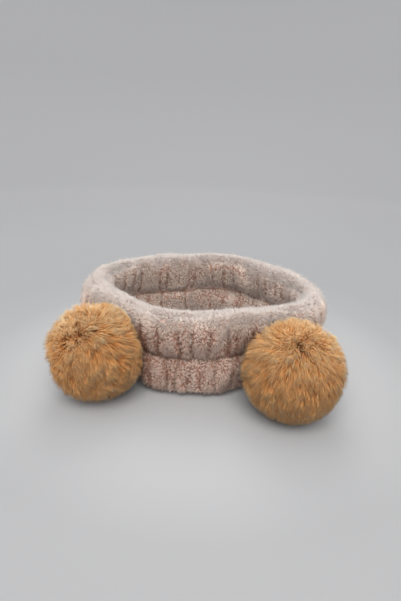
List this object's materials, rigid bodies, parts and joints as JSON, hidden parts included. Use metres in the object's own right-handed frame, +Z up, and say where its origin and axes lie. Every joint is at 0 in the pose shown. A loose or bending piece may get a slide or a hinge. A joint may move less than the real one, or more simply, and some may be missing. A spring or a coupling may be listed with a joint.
{
  "type": "animal ears headband",
  "caption": "Padded plush headband of ribbed fleece, stitched into an upper and a lower roll, with a round fur pom-pom ear at each side of the front.",
  "frame": {"origin": "middle of the footprint, on the table the band stands on", "axes": "+Z up through the head opening, -Y to the front where the ears are, +X to the right ear"},
  "size_m": [0.2304, 0.2312, 0.0776],
  "materials": {
    "fleece": "ribbed coral fleece, pale pink",
    "wadding": "soft white polyester wadding",
    "elastic": "flat white woven elastic",
    "thread": "matte pink sewing thread",
    "fur": "long golden-tan fur pile",
    "felt": "tan felt",
    "patch": "off-white felt"
  },
  "bodies": {
    "band": {"fleece_cover": "fleece", "upper_padding": "wadding", "lower_padding": "wadding", "elastic_tape": "elastic", "crease_stitch_outer": "thread", "crease_stitch_inner": "thread", "closing_stitch": "thread", "join_stitch": "thread", "left_tack_patch": "patch", "right_tack_patch": "patch"},
    "left_tack": {"left_tack_thread": "thread"},
    "left_ear": {"left_fur_cover": "fur", "left_stuffing": "wadding", "left_backing_disc": "felt", "left_gathering_thread": "thread"},
    "right_tack": {"right_tack_thread": "thread"},
    "right_ear": {"right_fur_cover": "fur", "right_stuffing": "wadding", "right_backing_disc": "felt", "right_gathering_thread": "thread"}
  },
  "joints": [
    {"name": "left_ear_twist", "type": "hinge", "parent": "band", "child": "left_tack", "pos_m": [-0.05476, -0.04831, 0.0382], "axis": [-0.6004, -0.7992, 0.0279], "range_deg": [-90, 90], "stiffness_Nm_per_rad": 0.002},
    {"name": "left_ear_lean", "type": "hinge", "parent": "left_tack", "child": "left_ear", "pos_m": [-0.05926, -0.0543, 0.03841], "axis": [0.0167, 0.0223, 0.9996], "range_deg": [-12, 12], "stiffness_Nm_per_rad": 0.05},
    {"name": "right_ear_twist", "type": "hinge", "parent": "band", "child": "right_tack", "pos_m": [0.05948, -0.04103, 0.0382], "axis": [0.4334, -0.9008, 0.0249], "range_deg": [-90, 90], "stiffness_Nm_per_rad": 0.002},
    {"name": "right_ear_lean", "type": "hinge", "parent": "right_tack", "child": "right_ear", "pos_m": [0.06273, -0.04779, 0.03839], "axis": [-0.0108, 0.0225, 0.9997], "range_deg": [-12, 12], "stiffness_Nm_per_rad": 0.05}
  ]
}
